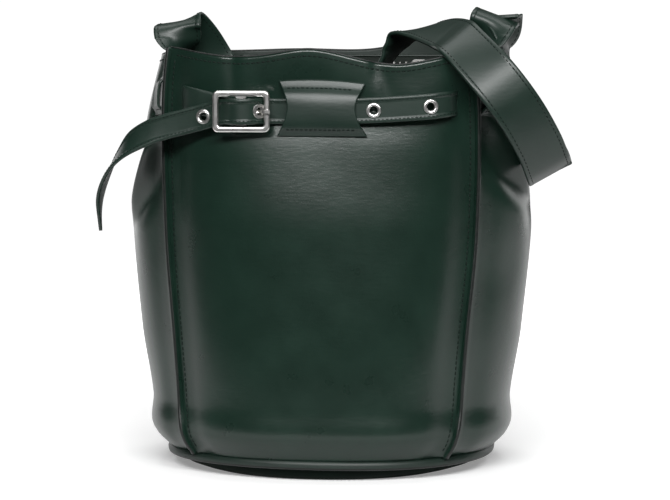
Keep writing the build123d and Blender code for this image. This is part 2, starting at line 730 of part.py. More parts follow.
# ---- files --------------------------------------------------------------
os.makedirs("parts", exist_ok=True)
PARTS = (
    front_panel, back_panel, left_gusset, right_gusset, base_panel, base_welt, base_board,
    lining_base, lining_wall, rim_facing, seam_fin_front_left, seam_fin_front_right,
    seam_fin_back_left, seam_fin_back_right, belt_strap, buckle_strap, eyelets, eyelet_washers,
    belt_anchor_left, belt_anchor_right, patch_loop, left_keeper, right_keeper, buckle_frame,
    buckle_tongue, belt_tail, shoulder_strap, strap_loop, strap_right_end, strap_backing_left,
    strap_backing_right, pocket_ledge, pocket_front, pocket_back, zip_tapes, zip_teeth,
    zip_stops, zip_slider, zip_puller,
)
for piece in PARTS:
    export_step(piece.part, "parts/" + piece.part.label + ".step")
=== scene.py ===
import json
import math

import bpy
import numpy as np
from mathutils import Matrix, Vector


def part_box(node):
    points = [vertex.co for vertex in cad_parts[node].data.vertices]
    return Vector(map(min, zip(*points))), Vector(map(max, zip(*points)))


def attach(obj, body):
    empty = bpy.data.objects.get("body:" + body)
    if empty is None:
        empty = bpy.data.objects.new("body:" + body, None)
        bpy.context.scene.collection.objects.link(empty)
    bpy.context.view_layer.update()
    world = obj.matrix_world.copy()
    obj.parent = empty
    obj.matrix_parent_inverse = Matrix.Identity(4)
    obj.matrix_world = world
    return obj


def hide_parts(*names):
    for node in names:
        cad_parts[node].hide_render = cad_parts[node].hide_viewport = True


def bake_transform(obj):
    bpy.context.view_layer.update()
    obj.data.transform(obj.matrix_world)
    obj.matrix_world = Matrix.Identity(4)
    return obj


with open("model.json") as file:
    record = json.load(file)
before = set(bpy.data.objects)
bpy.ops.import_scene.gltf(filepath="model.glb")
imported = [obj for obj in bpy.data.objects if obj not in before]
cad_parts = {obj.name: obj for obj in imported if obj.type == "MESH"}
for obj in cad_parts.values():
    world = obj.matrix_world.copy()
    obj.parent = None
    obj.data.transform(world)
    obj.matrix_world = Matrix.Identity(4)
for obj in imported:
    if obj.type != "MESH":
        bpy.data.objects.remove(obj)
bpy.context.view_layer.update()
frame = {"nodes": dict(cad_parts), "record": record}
MM = 0.001

# ---- sizes, in millimetres ----------------------------------------------
RIM = 266.0
PANEL_FOOT = 12.4
SKIN_THICK = 1.5
FACING_FOOT, FACING_INSET, FACING_THICK = 222.0, 1.8, 1.1
LINING_FOOT, LINING_TOP, LINING_INSET = 5.2, 221.5, 2.1
CLOTH_THICK = 0.7
PATCH_THICK, KEEPER_THICK, BACKING_THICK, LEDGE_THICK = 1.7, 1.5, 1.3, 1.2
BACKING_INSET = 3.0
RIM_EDGE_INSET, RIM_EDGE_HALF, RIM_EDGE_TALL = 2.9, 1.62, 0.75
FIN_TALL, FIN_SWAY = 3.1, 0.25
SEAM_PITCH, RIM_STITCH_DROP, SEAM_STITCH_IN = 3.3, 4.2, 3.6
BELT_WIDTH, BELT_THICK, BELT_TIP = 16.0, 2.2, 13.0
EYELETS = (70.8, 36.3, 1.0, -34.9, -70.0)
EYELET_HOLE, EYELET_RIM, EYELET_ROLL = 2.7, 3.6, 1.05
BUCKLE_EYELET = 3
BUCKLE = (-45.6, -92.6, 231.0)
SHORT_WIDTH, SHORT_THICK = 15.8, 2.6
FOLD_OUTER, FOLD_INNER = 2.72, 1.42
PATCH_X, PATCH_TOP, PATCH_FOOT = 4.0, 249.6, 215.6
KEEPER_Y, KEEPER_HALF = -53.0, 5.5
STRAP_W, STRAP_T = 31.0, 2.8
STRAP_END_INSET = 6.8
ZIP_Y, ZIP_HALF = 66.0, 66.0
LEDGE_TOP, LEDGE_HALF = 263.8, 69.5

# ---- shape of the bag ---------------------------------------------------
# Horizontal sections: height, half width, half depth, squareness.
SECTIONS = np.array((
    (0.0, 84.0, 86.0, 2.20), (4.0, 96.5, 88.5, 2.20), (8.0, 102.0, 90.0, 2.20),
    (12.0, 106.0, 90.6, 2.20), (20.0, 114.2, 91.6, 2.25), (28.0, 117.6, 92.0, 2.30),
    (45.0, 116.6, 91.0, 2.25), (90.0, 124.0, 90.0, 2.15), (177.0, 131.0, 88.0, 2.00),
    (225.0, 122.0, 87.5, 2.40), (266.0, 109.0, 86.0, 2.90)))
# Half width of the front and back panels at each height.
SEAM = np.array(((0.0, 74.0), (13.0, 79.0), (22.0, 84.0), (34.0, 86.8), (60.0, 88.7), (90.0, 91.2),
                 (140.0, 95.8), (177.0, 97.4), (210.0, 98.0), (240.0, 97.4), (266.0, 95.0)))


def cubic(rows, z, column):
    """Smooth value of one column of a table keyed by its first column."""
    z = np.clip(np.asarray(z, float), rows[0, 0], rows[-1, 0])
    i = np.clip(np.searchsorted(rows[:, 0], z, side="right") - 1, 0, len(rows) - 2)
    lo, hi = rows[i], rows[i + 1]
    below, above = rows[np.maximum(i - 1, 0)], rows[np.minimum(i + 2, len(rows) - 1)]
    span = hi[..., 0] - lo[..., 0]
    m0 = (hi[..., column] - below[..., column]) / (hi[..., 0] - below[..., 0]) * span
    m1 = (above[..., column] - lo[..., column]) / (above[..., 0] - lo[..., 0]) * span
    t = (z - lo[..., 0]) / span
    return ((2 * t**3 - 3 * t**2 + 1) * lo[..., column] + (t**3 - 2 * t**2 + t) * m0
            + (3 * t**2 - 2 * t**3) * hi[..., column] + (t**3 - t**2) * m1)


def step(a, b, x):
    """0 below a, 1 above b, and a smooth rise between them."""
    t = np.clip((np.asarray(x, float) - a) / (b - a), 0, 1)
    return t * t * (3 - 2 * t)


def bump(x, middle, width):
    """Bell curve, 1 at its middle."""
    return np.exp(-((np.asarray(x, float) - middle) / width)**2)


def wall_y(x, z, inset=0.0):
    """Half depth of the section at a height, at x from the middle."""
    a, b, n = (cubic(SECTIONS, z, k) for k in (1, 2, 3))
    return (b - inset) * np.clip(1 - np.clip(np.abs(x) / (a - inset), 0, 1)**n, 0, 1)**(1 / n)


def wall_x(y, z, inset=0.0):
    """Half width of the section at a height, at y from the middle."""
    a, b, n = (cubic(SECTIONS, z, k) for k in (1, 2, 3))
    return (a - inset) * np.clip(1 - np.clip(np.abs(y) / (b - inset), 0, 1)**n, 0, 1)**(1 / n)


def seam_x(z):
    """Distance of the four seams from the middle plane at a height."""
    return cubic(SEAM, z, 1)


def rim_rise(side, u):
    """How far the rim stands above or below its mean height. u is mm along the panel."""
    if side == "front":
        return (3.6 * bump(u, -4, 20) + 4.6 * bump(u, -104, 26) - 1.6 * bump(u, -50, 22)
                - 6.2 * bump(u, 50, 27) + 1.5 * bump(u, 100, 18))
    if side == "back":
        return 1.2 * bump(u, -30, 30) + 9.5 * bump(u, 62, 30)
    return -2.5 * bump(u, 0, 34) + 3.6 * bump(u, -62, 16)


def soft_noise(u, z, seed):
    """Gentle unevenness of a leather wall."""
    r = np.random.default_rng(seed)
    total = np.zeros(np.broadcast(u, z).shape)
    for _ in range(9):
        wu, wz = r.uniform(14, 60, 2)
        total = total + r.uniform(0.3, 1.0) * np.sin(u / wu + r.uniform(0, 6.3)) * np.sin(
            z / wz + r.uniform(0, 6.3))
    return total / 5


def front_relief(out, t, u, z):
    """Belly of the front panel, and the creases between the belt and the rim."""
    out = out + soft_noise(u, z, 3) * 0.8
    # Drawn in under the belt, full below it, and tucked in again above the base.
    belly = (8.0 * (1 - step(156, 234, z)) * step(8, 30, z) - 1.6 * bump(z, 230, 14)
             + 1.0 * bump(z, 33, 9))
    out = out + belly * (1 - t**4)
    out = out - 1.5 * bump(u, -53, 4.5) * step(232, 262, z)
    out = out - 1.8 * bump(u + (z - 250) * 0.25, 44, 5.0) * step(222, 262, z)
    out = out - 1.0 * bump(u, 36, 3.5) * step(240, 264, z)
    out = out + 2.4 * bump(u, -8, 26) * step(236, 266, z)
    return out - 2.2 * bump(u, 62, 20) * step(225, 262, z)


def gusset_relief(out, side, u, z):
    """Dent below the rim of a gusset, and the folds of that side."""
    top = step(150, 232, z)
    out = out + soft_noise(u, z, 11 if side == "left" else 13) * 0.9
    out = out - 12.0 * top * bump(u, 4, 25)
    out = out + 2.0 * top * bump(u, 40, 12)
    if side == "left":
        # A soft fold runs down from below the belt toward the back.
        off = (z - 206.0) - (u + 45.0) * -1.72
        fade = step(150, 176, z) * (1 - step(204, 226, z))
        out = out + 3.4 * fade * bump(off, 0, 10) - 3.8 * fade * bump(off, 24, 14)
        out = out - 2.6 * bump(off, -26, 15) * fade
        out = out - 1.8 * step(200, 228, z) * bump(u, -47, 7)
    else:
        # The strap presses a fold into the right side; a broad hollow lies below it.
        off = (z - 226.0) + (u + 54.0) * 1.15
        fade = step(164, 190, z) * (1 - step(228, 240, z))
        out = out + 3.2 * fade * bump(off, 4, 8) - 5.2 * fade * bump(off, -20, 15)
        out = out - 1.5 * bump(z, 128, 22) * bump(u, -40, 16)
    # The wall lies flat where the strap is sewn to it.
    return out * (1 - 1.05 * step(240, 262, z) * bump(u, 0, 30))


def panel_point(side, t, z, inset=0.0):
    """Point on the wall. t runs from -1 to 1 between a panel's two seams."""
    t, z = np.broadcast_arrays(np.asarray(t, float), np.asarray(z, float))
    zc = np.clip(z, 0, RIM)
    sx = seam_x(zc)
    sy = wall_y(sx, zc)
    across_front = side in ("front", "back")
    face = -1.0 if side in ("front", "left") else 1.0
    if across_front:
        u = sx * t
        x, y = u, face * wall_y(u, zc)
        nx, ny = 0.35 * t, np.full_like(t, face)
    else:
        u = sy * t
        x, y = face * wall_x(u, zc), u
        nx, ny = np.full_like(t, face), 0.5 * t
    length = np.hypot(nx, ny)
    nx, ny = nx / length, ny / length
    # The leather stands up right at a seam and dips beside it.
    edge = (1 - np.abs(t)) * (sx if across_front else sy)
    out = 1.3 * np.exp(-(edge / 2.6)**2) - 1.1 * bump(edge, 9, 6)
    if side == "front":
        out = front_relief(out, t, u, z)
    elif side == "back":
        out = out + soft_noise(u, z, 5) * 0.9
    else:
        out = gusset_relief(out, side, u, z)
    out = out - inset
    lift = rim_rise(side, u) * step(180, RIM, z)
    return np.stack((x + nx * out, y + ny * out, z + lift), -1)


# ---- mesh helpers -------------------------------------------------------
def collection_link(obj):
    """Put an object into the scene and hand it back."""
    bpy.context.scene.collection.objects.link(obj)
    return obj


def make(name, verts, faces, material):
    """Smooth mesh object from millimetre vertices."""
    mesh = bpy.data.meshes.new(name)
    mesh.from_pydata([tuple(map(float, v)) for v in np.asarray(verts) * MM], [],
                     [tuple(int(i) for i in f) for f in faces])
    mesh.validate()
    mesh.polygons.foreach_set("use_smooth", [True] * len(mesh.polygons))
    mesh.materials.append(material)
    mesh.update()
    return collection_link(bpy.data.objects.new(name, mesh))


def grid_faces(rows, columns, closed=False, start=0, flip=False):
    """Quads of a grid of points; closed joins the last column to the first."""
    out = []
    last = columns if closed else columns - 1
    for i in range(rows - 1):
        for j in range(last):
            a, b = start + i * columns + j, start + i * columns + (j + 1) % columns
            quad = (a, b, b + columns, a + columns)
            out.append(quad[::-1] if flip else quad)
    return out


def ring_faces(count, columns):
    """Quads of a grid of points that is closed both ways."""
    return [(i * columns + j, i * columns + (j + 1) % columns,
             (i + 1) % count * columns + (j + 1) % columns, (i + 1) % count * columns + j)
            for i in range(count) for j in range(columns)]


def unit_rows(vectors):
    """Every row brought to length 1."""
    return vectors / np.linalg.norm(vectors, axis=1, keepdims=True)


def normals_of(points):
    """Unit normals of a grid of points."""
    du = np.gradient(points, axis=1)
    dv = np.gradient(points, axis=0)
    n = np.cross(du, dv)
    return n / np.maximum(np.linalg.norm(n, axis=-1, keepdims=True), 1e-9)


def slab(name, grid, thick, material, outward=1.0):
    """Closed sheet that rides the bag: a grid of points thickened on its inner side."""
    n = normals_of(grid) * outward
    rows, columns = grid.shape[:2]
    verts = np.concatenate((grid.reshape(-1, 3), (grid - n * thick).reshape(-1, 3)))
    count = rows * columns
    flip = outward < 0
    faces = grid_faces(rows, columns, flip=flip)
    faces += grid_faces(rows, columns, start=count, flip=not flip)
    ring = list(range(columns))
    ring += [i * columns + columns - 1 for i in range(1, rows)]
    ring += [(rows - 1) * columns + j for j in range(columns - 2, -1, -1)]
    ring += [i * columns for i in range(rows - 2, 0, -1)]
    for a, b in zip(ring, ring[1:] + ring[:1]):
        quad = (b, a, a + count, b + count)
        faces.append(quad[::-1] if flip else quad)
    obj = make(name, verts, faces, material)
    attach(obj, "bag")
    return obj


def resample(rows, count):
    """Catmull-Rom run through the rows, evenly spaced by length."""
    rows = np.asarray(rows, float)
    fine = []
    for i in range(len(rows) - 1):
        a, b, c, d = rows[max(i - 1, 0)], rows[i], rows[i + 1], rows[min(i + 2, len(rows) - 1)]
        for t in np.linspace(0, 1, 24, endpoint=False):
            fine.append(0.5 * (2 * b + (c - a) * t + (2 * a - 5 * b + 4 * c - d) * t**2
                               + (3 * b - a - 3 * c + d) * t**3))
    fine.append(rows[-1])
    fine = np.array(fine)
    length = np.concatenate(((0,), np.cumsum(np.linalg.norm(np.diff(fine[:, :3], axis=0), axis=1))))
    at = np.linspace(0, length[-1], count)
    run = np.stack([np.interp(at, length, fine[:, k]) for k in range(fine.shape[1])], 1)
    return run, length[-1]


def strap_frames(rows, count):
    """Middle points of a band, its directions across and up, and its length."""
    run, length = resample(rows, count)
    p = run[:, :3]
    along = unit_rows(np.gradient(p, axis=0))
    across = run[:, 3:6]
    across = unit_rows(across - along * np.sum(across * along, 1, keepdims=True))
    return p, across, np.cross(across, along), length


def strap_profile(width, thick, border, ridge):
    """Outline across a strap: raised turned edges, rounded at the sides."""
    half, h = width / 2, thick / 2
    turn = np.linspace(0.35, math.pi - 0.35, 7)
    top = [(-half + h, h), (-half + border * 0.5, h + ridge * 0.1), (-half + border - 0.25, h),
           (-half + border, h - ridge), (-half + border + 0.5, h - ridge * 1.05)]
    middle = [(x, h - ridge) for x in np.linspace(-half + border + 1.5, half - border - 1.5, 7)]
    top = top + middle + [(-x, y) for x, y in reversed(top)]
    right = [(half - h + h * math.sin(a), h * math.cos(a)) for a in turn]
    bottom = [(x, -h) for x in np.linspace(half - h, -half + h, 9)]
    left = [(-half + h - h * math.sin(a), -h * math.cos(a)) for a in turn]
    return np.array(top + right + bottom + left)


def strap(name, rows, width, thick, material, border=3.0, ridge=0.35, count=160, taper=0.0):
    """Flat leather band with turned edges. taper draws the far end to a point."""
    p, across, up, length = strap_frames(rows, count)
    profile = strap_profile(width, thick, border, ridge)
    shrink = np.ones(count)
    if taper:
        d = np.linspace(length, 0, count)
        share = np.clip(d / taper, 0.004, 1)
        shrink = np.where(d < taper, np.sqrt(share) * 0.5 + share * 0.5, 1.0)
    rings = (p[:, None] + across[:, None] * (profile[None, :, 0:1] * shrink[:, None, None])
             + up[:, None] * profile[None, :, 1:2])
    columns = profile.shape[0]
    faces = grid_faces(count, columns, closed=True)
    faces.append(tuple(range(columns))[::-1])
    faces.append(tuple((count - 1) * columns + j for j in range(columns)))
    return make(name, rings.reshape(-1, 3), faces, material)


def stitch_row(name, points, normals, pitch, material, body="bag", size=(1.35, 0.40), sink=0.05):
    """Row of thread stitches, each a small rounded stick lying along the row.

    size is half the length of a stitch and its radius."""
    points, normals = np.asarray(points, float), np.asarray(normals, float)
    length = np.concatenate(((0,), np.cumsum(np.linalg.norm(np.diff(points, axis=0), axis=1))))
    verts, faces = [], []
    around = 6
    # Places along a stitch and the share of the radius there.
    outline = ((-1.0, 0.25), (-0.8, 0.8), (0.0, 1.0), (0.8, 0.8), (1.0, 0.25))
    for k in range(int(length[-1] // pitch)):
        s = (k + 0.5) * pitch
        c = np.array([np.interp(s, length, points[:, i]) for i in range(3)])
        e = np.array([np.interp(min(s + 0.4, length[-1]), length, points[:, i]) for i in range(3)])
        n = np.array([np.interp(s, length, normals[:, i]) for i in range(3)])
        d = e - c
        if np.linalg.norm(d) < 1e-6:
            continue
        d /= np.linalg.norm(d)
        n = n - d * (n @ d)
        n /= np.linalg.norm(n)
        side = np.cross(d, n)
        c = c + n * (size[1] * 0.35 - sink)
        base = len(verts)
        for f, r in outline:
            drop = -0.25 * abs(f)**3
            for a in range(around):
                w = 2 * math.pi * a / around
                verts.append(c + d * f * size[0] + n * (drop + r * size[1] * math.sin(w))
                             + side * r * size[1] * 1.15 * math.cos(w))
        faces += grid_faces(len(outline), around, closed=True, start=base)
        faces.append(tuple(base + a for a in range(around))[::-1])
        faces.append(tuple(base + (len(outline) - 1) * around + a for a in range(around)))
    obj = make(name, verts, faces, material)
    if body:
        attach(obj, body)
    return obj


# ---- materials ----------------------------------------------------------
def base_material(name, color, rough, spec, metallic=0.0):
    """Plain material, with its node tree and shader."""
    m = bpy.data.materials.new(name)
    m.use_nodes = True
    b = m.node_tree.nodes["Principled BSDF"]
    b.inputs["Base Color"].default_value = (*color, 1)
    b.inputs["Roughness"].default_value = rough
    b.inputs["Specular IOR Level"].default_value = spec
    b.inputs["Metallic"].default_value = metallic
    return m, m.node_tree, b


def add_bump(tree, bsdf, layers, variation):
    """Fine relief from stacked noise, and a slow change of colour and gloss."""
    coords = tree.nodes.new("ShaderNodeTexCoord")
    last = None
    for kind, scale, strength, distance in layers:
        if kind == "cells":
            tex = tree.nodes.new("ShaderNodeTexVoronoi")
            tex.feature = "DISTANCE_TO_EDGE"
            out = tex.outputs["Distance"]
        else:
            tex = tree.nodes.new("ShaderNodeTexNoise")
            tex.inputs["Detail"].default_value = 4.0
            out = tex.outputs["Fac"]
        tex.inputs["Scale"].default_value = scale
        if kind == "wrinkle":
            # Fine creases that lie mostly level, as calf leather takes them.
            stretch = tree.nodes.new("ShaderNodeMapping")
            stretch.inputs["Scale"].default_value = (0.28, 0.28, 1.0)
            tree.links.new(coords.outputs["Object"], stretch.inputs["Vector"])
            tree.links.new(stretch.outputs["Vector"], tex.inputs["Vector"])
        else:
            tree.links.new(coords.outputs["Object"], tex.inputs["Vector"])
        node = tree.nodes.new("ShaderNodeBump")
        node.inputs["Strength"].default_value = strength
        node.inputs["Distance"].default_value = distance
        tree.links.new(out, node.inputs["Height"])
        if last:
            tree.links.new(last.outputs["Normal"], node.inputs["Normal"])
        last = node
    tree.links.new(last.outputs["Normal"], bsdf.inputs["Normal"])
    dark, light, scale, rough_low, rough_high = variation
    tex = tree.nodes.new("ShaderNodeTexNoise")
    tex.inputs["Scale"].default_value = scale
    tex.inputs["Detail"].default_value = 5.0
    tree.links.new(coords.outputs["Object"], tex.inputs["Vector"])
    ramp = tree.nodes.new("ShaderNodeValToRGB")
    ramp.color_ramp.elements[0].position = 0.3
    ramp.color_ramp.elements[1].position = 0.72
    ramp.color_ramp.elements[0].color = (*dark, 1)
    ramp.color_ramp.elements[1].color = (*light, 1)
    tree.links.new(tex.outputs["Fac"], ramp.inputs["Fac"])
    tree.links.new(ramp.outputs["Color"], bsdf.inputs["Base Color"])
    span = tree.nodes.new("ShaderNodeMapRange")
    span.inputs["To Min"].default_value = rough_low
    span.inputs["To Max"].default_value = rough_high
    tree.links.new(tex.outputs["Fac"], span.inputs["Value"])
    tree.links.new(span.outputs["Result"], bsdf.inputs["Roughness"])


def leather(name, dark, light, rough, spec=0.45, coat=0.10):
    """Smooth calf leather between two tones, with its grain and a thin finish."""
    m, tree, b = base_material(name, light, 0.42, spec)
    b.inputs["Coat Weight"].default_value = coat
    b.inputs["Coat Roughness"].default_value = 0.30
    add_bump(tree, b, (("noise", 130.0, 0.14, 0.0006), ("wrinkle", 620.0, 0.20, 0.0003),
                       ("cells", 1500.0, 0.12, 0.0002), ("noise", 2600.0, 0.12, 0.0001)),
             (dark, light, 42.0, *rough))
    return m


def surface(name, color, rough, spec, layers, variation, metallic=0.0, sheen=0.0):
    """Any other material: its plain look, its relief and its variation."""
    m, tree, b = base_material(name, color, rough, spec, metallic)
    b.inputs["Sheen Weight"].default_value = sheen
    add_bump(tree, b, layers, variation)
    return m


green = leather("green_calf", (0.0046, 0.0150, 0.0099), (0.0068, 0.0205, 0.0138), (0.25, 0.32))
green_strap = leather("green_strap_leather", (0.0048, 0.0150, 0.0102), (0.0074, 0.0205, 0.0141),
                      (0.38, 0.47))
inner_leather = leather("green_facing_leather", (0.0040, 0.0105, 0.0072), (0.0062, 0.0150, 0.0105),
                        (0.5, 0.6))
edge_paint = surface("edge_paint", (0.004, 0.0062, 0.005), 0.42, 0.4, (("noise", 900.0, 0.15, 0.0003),),
                     ((0.003, 0.0048, 0.004), (0.006, 0.0090, 0.0075), 300.0, 0.36, 0.5))
# Thread: tonal dark green, made darker still so the stitches also carry painted shade for their holes and
# grooves.
thread = surface("thread", (0.003, 0.008, 0.0055), 0.7, 0.2, (("noise", 4000.0, 0.4, 0.0002),),
                 ((0.0022, 0.0060, 0.0042), (0.0045, 0.0115, 0.0080), 900.0, 0.6, 0.75))
# Base tray leather: the panel green made nearly black, painted shade standing for the deep shadow under
# the welt, with little gloss.
base_leather_painted_shade = leather("green_base_leather", (0.0016, 0.0044, 0.0030), (0.0024, 0.0062, 0.0042),
                       (0.6, 0.7), spec=0.05, coat=0.0)
# Welt leather: the panel green made darker, painted shade along the base seam.
welt_leather_painted_shade = leather("green_welt_leather", (0.0035, 0.0110, 0.0075), (0.0050, 0.0150, 0.0102),
                       (0.46, 0.56))
lining_cloth = surface("lining_cloth", (0.018, 0.022, 0.019), 0.8, 0.2,
                       (("noise", 3200.0, 0.5, 0.0003), ("noise", 60.0, 0.3, 0.002)),
                       ((0.012, 0.015, 0.013), (0.026, 0.031, 0.027), 60.0, 0.7, 0.9), sheen=0.25)
tape_cloth = surface("zip_tape_cloth", (0.010, 0.014, 0.012), 0.85, 0.2,
                     (("noise", 5000.0, 0.6, 0.0003),),
                     ((0.008, 0.011, 0.009), (0.016, 0.021, 0.018), 400.0, 0.75, 0.9))
board_card = surface("board_card", (0.30, 0.24, 0.17), 0.9, 0.2, (("noise", 900.0, 0.3, 0.0003),),
                     ((0.26, 0.20, 0.14), (0.36, 0.29, 0.21), 120.0, 0.8, 0.95))
silver = surface("palladium", (0.90, 0.89, 0.87), 0.34, 0.5, (("noise", 700.0, 0.04, 0.0002),),
                 ((0.84, 0.83, 0.81), (0.93, 0.92, 0.90), 160.0, 0.24, 0.34), metallic=1.0)

# The frame's own pieces keep the look of their slot where nothing replaces them.
for node_name, obj in frame["nodes"].items():
    slot_name = next(p["material_slot"] for p in frame["record"]["subparts"] if p["node"] == node_name)
    use = {"silver": silver, "lining": lining_cloth, "tape": tape_cloth,
           "board": board_card}.get(slot_name, green)
    obj.data.materials.clear()
    obj.data.materials.append(use)

# ---- body of the bag ----------------------------------------------------
SKINS = (("front", "front_panel", 1), ("back", "back_panel", -1), ("left", "left_gusset", -1),
         ("right", "right_gusset", 1))


def panel_grid(side, rows, columns, z0, z1, inset=0.0):
    """Grid of points over a wall panel, closer together toward its seams."""
    t = np.linspace(-1, 1, columns)
    t = np.sin(t * math.pi / 2) * 0.35 + t * 0.65
    z = z0 + (z1 - z0) * np.linspace(0, 1, rows)
    return panel_point(side, t[None, :], z[:, None], inset)


for side, node, outward in SKINS:
    grid = panel_grid(side, 150, 120, PANEL_FOOT, RIM)
    skin = slab(node + "_skin", grid, SKIN_THICK, green, outward=outward)
    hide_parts(node)
    inner = panel_grid(side, 40, 60, FACING_FOOT, RIM, FACING_INSET)
    facing = slab("rim_facing_" + side, inner, FACING_THICK, inner_leather, outward=outward)
    if side == "front":
        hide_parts("rim_facing")
    cloth = panel_grid(side, 60, 60, LINING_FOOT, LINING_TOP, LINING_INSET)
    wall = slab("lining_" + side, cloth, CLOTH_THICK, lining_cloth, outward=outward)
    if side == "front":
        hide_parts("lining_wall")
    # Row of stitches under the rim, and on the front and back one along each seam.
    t = np.linspace(-0.955, 0.955, 220)
    z = RIM - RIM_STITCH_DROP
    row = panel_point(side, t, np.full_like(t, z))
    up = panel_point(side, t, np.full_like(t, z + 1))
    n = unit_rows(np.cross(np.gradient(row, axis=0), up - row))
    stitch_row(f"stitches_{side}_rim", row, n * outward, SEAM_PITCH, thread)
    if side in ("front", "back"):
        for end in (-1, 1):
            z = np.linspace(PANEL_FOOT + 5, RIM - 5, 240)
            t = end * (1 - SEAM_STITCH_IN / seam_x(z))
            row = panel_point(side, t, z)
            more = panel_point(side, t - end * 0.01, z)
            n = unit_rows(np.cross(np.gradient(row, axis=0), more - row) * end * outward)
            stitch_row(f"stitches_{side}_seam_{'left' if end < 0 else 'right'}", row, n, SEAM_PITCH,
                       thread)

# Painted top edge of the wall, from the outer skin over to the facing.
loop = []
for side, a, b in (("front", -1, 1), ("right", -1, 1), ("back", 1, -1), ("left", 1, -1)):
    t = np.linspace(a, b, 90)[:-1]
    outer = panel_point(side, t, np.full_like(t, RIM))
    inner = panel_point(side, t, np.full_like(t, RIM), RIM_EDGE_INSET)
    loop.append(np.stack((outer, inner), 1))
loop = np.concatenate(loop)
middle = loop.mean(1)
wide = loop[:, 0] - loop[:, 1]
wide[:, 2] = 0
wide = unit_rows(wide)
for _ in range(3):
    wide = (np.roll(wide, 1, 0) + wide + np.roll(wide, -1, 0)) / 3
wide = unit_rows(wide)
UP = np.array((0.0, 0.0, 1.0))
ring = np.stack([middle + wide * (RIM_EDGE_HALF * math.cos(angle))
                 + UP * (RIM_EDGE_TALL * math.sin(angle))
                 for angle in np.linspace(-0.25, math.pi + 0.25, 9)], 1)
rim_edge = make("rim_edge_paint", ring.reshape(-1, 3), ring_faces(*ring.shape[:2]), edge_paint)
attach(rim_edge, "bag")

# Seam fins: two leather edges side by side with a painted crest.
# Outline of a fin: distance from the seam line, then height, as a share of the fin's above 0.
FIN_PROFILE = ((-1.5, -1.6), (-1.35, 0.2), (-1.3, 0.75), (-1.1, 0.92), (-0.5, 1.0), (0.5, 1.0),
               (1.1, 0.92), (1.3, 0.75), (1.35, 0.2), (1.5, -1.6))
FIN_PAINT_FROM = 0.75
for end, left_right in ((-1, "left"), (1, "right")):
    for face, front_back in ((-1, "front"), (1, "back")):
        z = np.linspace(PANEL_FOOT, RIM + 0.2, 170)
        zc = np.minimum(z, RIM)
        base = panel_point(front_back, np.full_like(z, end), zc)
        x = seam_x(zc)
        slope = wall_y(x + 0.5, zc) - wall_y(x - 0.5, zc)
        out = unit_rows(np.stack((-slope * end, np.full_like(z, face), 0 * z), 1))
        tangent = np.stack((-out[:, 1], out[:, 0], 0 * z), 1)
        tall = FIN_TALL + FIN_SWAY * np.sin(z / 23.0)
        rings = np.stack([base + tangent * a + out * (tall * max(h, 0) + min(h, 0))[:, None]
                          for a, h in FIN_PROFILE], 1)
        n = len(FIN_PROFILE)
        faces = grid_faces(len(z), n, closed=True)
        faces += [tuple(range(n))[::-1], tuple((len(z) - 1) * n + j for j in range(n))]
        fin = make(f"seam_fin_{front_back}_{left_right}_skin", rings.reshape(-1, 3), faces, green)
        fin.data.materials.append(edge_paint)
        for poly in fin.data.polygons:
            if min(FIN_PROFILE[v % n][1] for v in poly.vertices) >= FIN_PAINT_FROM:
                poly.material_index = 1
        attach(fin, "bag")
        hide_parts(f"seam_fin_{front_back}_{left_right}")

# Base: welt ring, leather tray, lining base.
angles = np.linspace(0, 2 * math.pi, 400, endpoint=False)
WELT_SECTION = 10.0
# Rows of the welt and the tray: distance out from the section, then height.
WELT_PROFILE = ((0.2, 7.6), (1.8, 7.5), (2.4, 7.9), (2.7, 8.9), (2.8, 10.2), (2.6, 11.4),
                (2.1, 12.3), (1.3, 12.9), (0.2, 13.4), (-1.0, 13.4), (-1.0, 7.6))
WELT_PAINTED = {1, 2, 3}
TRAY_ROWS = ((-0.1, 8.2), (-0.2, 6.0), (-0.4, 3.6), (-1.2, 1.6), (-2.6, 0.5), (-4.6, 0.02))
FLOOR_SECTION, FLOOR_IN, FLOOR_ROWS, FLOOR_MIDDLE = 5.0, -3.0, (4.4, 5.1), 5.3


def section_ring(z, offset):
    """Level ring of points that runs round the section of a height, offset outward."""
    a, b, n = (float(cubic(SECTIONS, z, k)) for k in (1, 2, 3))
    c, s = np.cos(angles), np.sin(angles)
    return np.stack((np.sign(c) * np.abs(c)**(2 / n) * (a + offset),
                     np.sign(s) * np.abs(s)**(2 / n) * (b + offset), np.zeros_like(c)), 1)


rings = []
for offset, z in WELT_PROFILE:
    ring = section_ring(WELT_SECTION, offset)
    ring[:, 2] = z + 0.35 * np.sin(angles * 3 + 1.0)
    rings.append(ring)
# The welt's darker green is painted shade along the seam.
welt = make("base_welt_skin", np.stack(rings, 1).reshape(-1, 3),
            ring_faces(len(angles), len(WELT_PROFILE)), welt_leather_painted_shade)
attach(welt, "bag")
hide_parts("base_welt")
welt.data.materials.append(edge_paint)
for poly in welt.data.polygons:
    if {v % len(WELT_PROFILE) for v in poly.vertices} <= WELT_PAINTED:
        poly.material_index = 1

n = len(angles)
rows = [section_ring(z, offset) + UP * z for offset, z in TRAY_ROWS]
verts = np.concatenate(rows + [np.array([[0, 0, TRAY_ROWS[-1][1]]])])
faces = grid_faces(len(rows), n, closed=True, flip=True)
last = (len(rows) - 1) * n
faces += [(last + (j + 1) % n, last + j, last + n) for j in range(n)]
# The tray's near-black colour is painted shade under the welt.
tray = make("base_panel_skin", verts, faces, base_leather_painted_shade)
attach(tray, "bag")
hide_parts("base_panel")

rows = [section_ring(FLOOR_SECTION, FLOOR_IN) + UP * z for z in FLOOR_ROWS]
verts = np.concatenate(rows + [np.array([[0, 0, FLOOR_MIDDLE]])])
faces = grid_faces(len(rows), n, closed=True)
faces += [(n + j, n + (j + 1) % n, 2 * n) for j in range(n)]
base_cloth = make("lining_base_cloth", verts, faces, lining_cloth)
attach(base_cloth, "bag")
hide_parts("lining_base")

